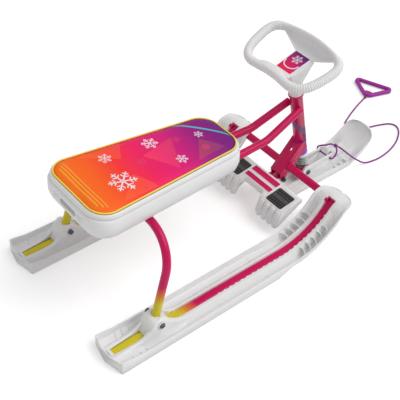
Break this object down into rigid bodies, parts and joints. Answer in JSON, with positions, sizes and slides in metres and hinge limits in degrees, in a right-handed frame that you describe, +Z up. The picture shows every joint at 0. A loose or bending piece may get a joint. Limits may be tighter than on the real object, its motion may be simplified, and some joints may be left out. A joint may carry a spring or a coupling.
{
  "type": "steering sled",
  "caption": "Child's snow sled with a padded seat on a bent tube frame, two rear skis, a steering wheel that turns a sprung front ski, a claw foot brake and a tow cord.",
  "frame": {"origin": "on the ground under the middle of the sled's length, on its middle plane", "axes": "+Y forward, towards the front ski; +Z up; +X to the rider's right"},
  "size_m": [0.515, 1.4034, 0.5069],
  "materials": {
    "white_plastic": "matte moulded",
    "pink_paint": "gloss powder coat, crimson pink fading to yellow",
    "zinc_steel": "zinc plated",
    "black_rubber": "matte",
    "printed_cover": "printed cover with piping",
    "purple_cord": "woven cord",
    "purple_plastic": "satin moulded"
  },
  "bodies": {
    "chassis": {"seat_shell": "white_plastic", "seat_tray": "white_plastic", "seat_cushion": "printed_cover", "seat_strap_front": "pink_paint", "seat_strap_rear": "pink_paint", "seat_screw_front_left": "zinc_steel", "seat_screw_front_right": "zinc_steel", "seat_screw_rear_left": "zinc_steel", "seat_screw_rear_right": "zinc_steel", "main_tube_left": "pink_paint", "main_tube_right": "pink_paint", "ski_tube_left": "pink_paint", "ski_tube_right": "pink_paint", "cross_bar": "pink_paint", "head_tube": "pink_paint", "head_gusset": "pink_paint", "rear_ski_left": "white_plastic", "rear_ski_right": "white_plastic", "leg_bolt_left": "zinc_steel", "leg_bolt_right": "zinc_steel", "leg_nut_left": "zinc_steel", "leg_nut_right": "zinc_steel", "upper_bush": "white_plastic", "lower_bush": "white_plastic", "hinge_bolt": "zinc_steel", "hinge_nut": "zinc_steel", "brake_spring": "zinc_steel", "suspension_spring": "zinc_steel"},
    "slider": {"spring_seat": "zinc_steel"},
    "column": {"steering_shaft": "zinc_steel", "fork": "pink_paint", "steering_wheel": "white_plastic", "wheel_bolt": "zinc_steel", "wheel_nut": "zinc_steel", "pivot_bolt": "zinc_steel", "pivot_nut": "zinc_steel"},
    "front_runner": {"front_ski": "white_plastic", "tow_cord": "purple_cord", "tow_loop": "purple_cord", "tow_knot_loop": "purple_cord", "tow_knot_handle": "purple_cord", "tow_handle": "purple_plastic"},
    "brake": {"brake_plate": "white_plastic", "brake_frame": "pink_paint", "brake_pad_left": "black_rubber", "brake_pad_right": "black_rubber"}
  },
  "joints": [
    {"name": "suspension_slide", "type": "slide", "parent": "chassis", "child": "slider", "axis": [0, -0.2504, 0.9681], "range_m": [0, 0.01], "stiffness_N_per_m": 6000, "springref_m": -0.012, "deforming": ["suspension_spring"]},
    {"name": "steering_hinge", "type": "hinge", "parent": "slider", "child": "column", "pos_m": [0, 0.242, 0.23], "axis": [0, -0.2504, 0.9681], "range_deg": [-35, 35]},
    {"name": "front_ski_pivot", "type": "hinge", "parent": "column", "child": "front_runner", "pos_m": [0, 0.29032, 0.04315], "axis": [1, 0, 0], "range_deg": [-10, 12]},
    {"name": "brake_hinge", "type": "hinge", "parent": "chassis", "child": "brake", "pos_m": [0, 0.19, 0.064], "axis": [1, 0, 0], "range_deg": [0, 16], "stiffness_Nm_per_rad": 0.8, "springref_deg": -34.38}
  ]
}
